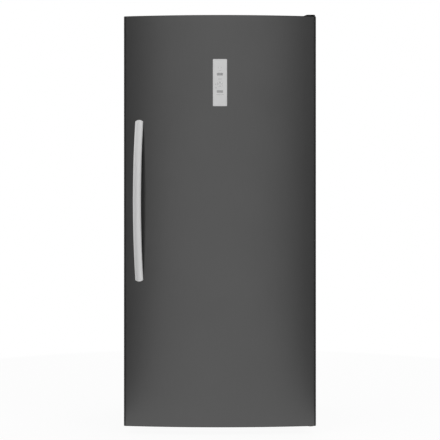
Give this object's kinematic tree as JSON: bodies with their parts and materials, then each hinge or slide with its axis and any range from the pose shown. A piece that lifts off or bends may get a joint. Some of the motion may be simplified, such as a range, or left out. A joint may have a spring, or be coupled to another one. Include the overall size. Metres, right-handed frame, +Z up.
{
  "type": "upright freezer",
  "caption": "Tall upright freezer with a bowed side-hinged door, a long bowed bar handle, a control panel, wire shelves, a sliding wire basket and door bins.",
  "frame": {"origin": "on the floor, under the middle of the outline with the door closed", "axes": "+Z up, the door faces -Y, +X is to the right of someone facing the door"},
  "size_m": [0.838, 0.7708, 1.832],
  "materials": {
    "cabinet_steel": "textured satin paint",
    "door_steel": "smooth satin, dark grey metallic",
    "galvanised_steel": "galvanised sheet",
    "liner_plastic": "vacuum-formed, soft gloss",
    "foam": "rigid foam",
    "gasket_rubber": "soft vinyl",
    "dark_plastic": "moulded, fine grain",
    "bin_plastic": "clear-edged moulding",
    "white_wire": "white coated wire",
    "handle_metal": "satin silver",
    "panel_plastic": "silver-grey moulding",
    "button_plastic": "silver-grey moulding",
    "display_plastic": "smoked window",
    "board": "solder mask",
    "housing_plastic": "moulded",
    "hinge_steel": "zinc plated",
    "leg_plastic": "moulded",
    "compressor_black": "satin black",
    "rubber": "moulded",
    "coil_aluminium": "drawn tube and sheet",
    "condenser_steel": "black coated tube",
    "copper": "drawn copper",
    "heater_metal": "sheathed",
    "fan_plastic": "moulded",
    "motor_metal": "lacquered"
  },
  "bodies": {
    "cabinet": {"back_panel": "galvanised_steel", "base_pan": "galvanised_steel", "bottom_hinge": "hinge_steel", "compartment_cover": "galvanised_steel", "compressor": "compressor_black", "compressor_grommets": "rubber", "condenser_coil": "condenser_steel", "cord_grommet": "rubber", "defrost_heater": "heater_metal", "drain_pan": "housing_plastic", "drain_tube": "housing_plastic", "duct_cover": "liner_plastic", "evaporator_coil": "coil_aluminium", "evaporator_fins": "coil_aluminium", "fan_motors": "motor_metal", "fan_shroud": "housing_plastic", "insulation": "foam", "light_lens": "liner_plastic", "liner": "liner_plastic", "machine_rail": "galvanised_steel", "refrigerant_lines": "copper", "screws": "hinge_steel", "shelf_1": "white_wire", "shelf_2": "white_wire", "shelf_3": "white_wire", "shelf_4": "white_wire", "side_panel_left": "cabinet_steel", "side_panel_right": "cabinet_steel", "switch_housing": "liner_plastic", "top_hinge": "hinge_steel", "top_hinge_cover": "dark_plastic", "top_panel": "cabinet_steel"},
    "door": {"door_skin": "door_steel", "door_cap_top": "dark_plastic", "door_cap_bottom": "dark_plastic", "hinge_bushes": "dark_plastic", "door_liner": "liner_plastic", "door_insulation": "foam", "door_gasket": "gasket_rubber", "door_bin_1": "bin_plastic", "door_bin_2": "bin_plastic", "door_bin_3": "bin_plastic", "door_bin_4": "bin_plastic", "handle_bar": "handle_metal", "handle_studs": "hinge_steel", "control_bezel": "panel_plastic", "display_lenses": "display_plastic", "control_board": "board", "control_housing": "housing_plastic"},
    "basket": {"basket": "white_wire"},
    "plunger": {"switch_plunger": "liner_plastic"},
    "evaporator_fan": {"evaporator_fan": "fan_plastic"},
    "condenser_fan": {"condenser_fan": "fan_plastic"},
    "roller_left": {"roller_left": "leg_plastic"},
    "roller_right": {"roller_right": "leg_plastic"},
    "leg_left": {"leg_left": "leg_plastic"},
    "leg_right": {"leg_right": "leg_plastic"},
    "button_up": {"button_up": "button_plastic"},
    "button_down": {"button_down": "button_plastic"},
    "button_alarm": {"button_alarm": "button_plastic"}
  },
  "joints": [
    {"name": "door_swing", "type": "hinge", "parent": "cabinet", "child": "door", "pos_m": [0.397, -0.27801, 0], "axis": [0, 0, 1], "range_deg": [0, 125]},
    {"name": "basket_slide", "type": "slide", "parent": "cabinet", "child": "basket", "axis": [0, -1, 0], "range_m": [0, 0.2]},
    {"name": "plunger_slide", "type": "slide", "parent": "cabinet", "child": "plunger", "axis": [0, -1, 0], "range_m": [0, 0.008]},
    {"name": "evaporator_fan_spin", "type": "hinge", "parent": "cabinet", "child": "evaporator_fan", "pos_m": [0, 0.29099, 0.582], "axis": [0, -1, 0], "continuous": true},
    {"name": "condenser_fan_spin", "type": "hinge", "parent": "cabinet", "child": "condenser_fan", "pos_m": [-0.08, 0.27299, 0.122], "axis": [1, 0, 0], "continuous": true},
    {"name": "roller_left_spin", "type": "hinge", "parent": "cabinet", "child": "roller_left", "pos_m": [-0.382, 0.32499, 0.015], "axis": [1, 0, 0], "continuous": true},
    {"name": "roller_right_spin", "type": "hinge", "parent": "cabinet", "child": "roller_right", "pos_m": [0.382, 0.32499, 0.015], "axis": [1, 0, 0], "continuous": true},
    {"name": "leg_left_height", "type": "slide", "parent": "cabinet", "child": "leg_left", "axis": [0, 0, -1], "range_m": [0, 0.012]},
    {"name": "leg_right_height", "type": "slide", "parent": "cabinet", "child": "leg_right", "axis": [0, 0, -1], "range_m": [0, 0.012]},
    {"name": "button_up_press", "type": "slide", "parent": "door", "child": "button_up", "axis": [0, 1, 0], "range_m": [0, 0.0008], "stiffness_N_per_m": 500},
    {"name": "button_down_press", "type": "slide", "parent": "door", "child": "button_down", "axis": [0, 1, 0], "range_m": [0, 0.0008], "stiffness_N_per_m": 500},
    {"name": "button_alarm_press", "type": "slide", "parent": "door", "child": "button_alarm", "axis": [0, 1, 0], "range_m": [0, 0.0008], "stiffness_N_per_m": 500}
  ],
  "couplings": [
    {"joint": "basket_slide", "follows": "door_swing", "m_per_rad": 0.0916},
    {"joint": "plunger_slide", "follows": "door_swing", "m_per_rad": 0.00366}
  ]
}
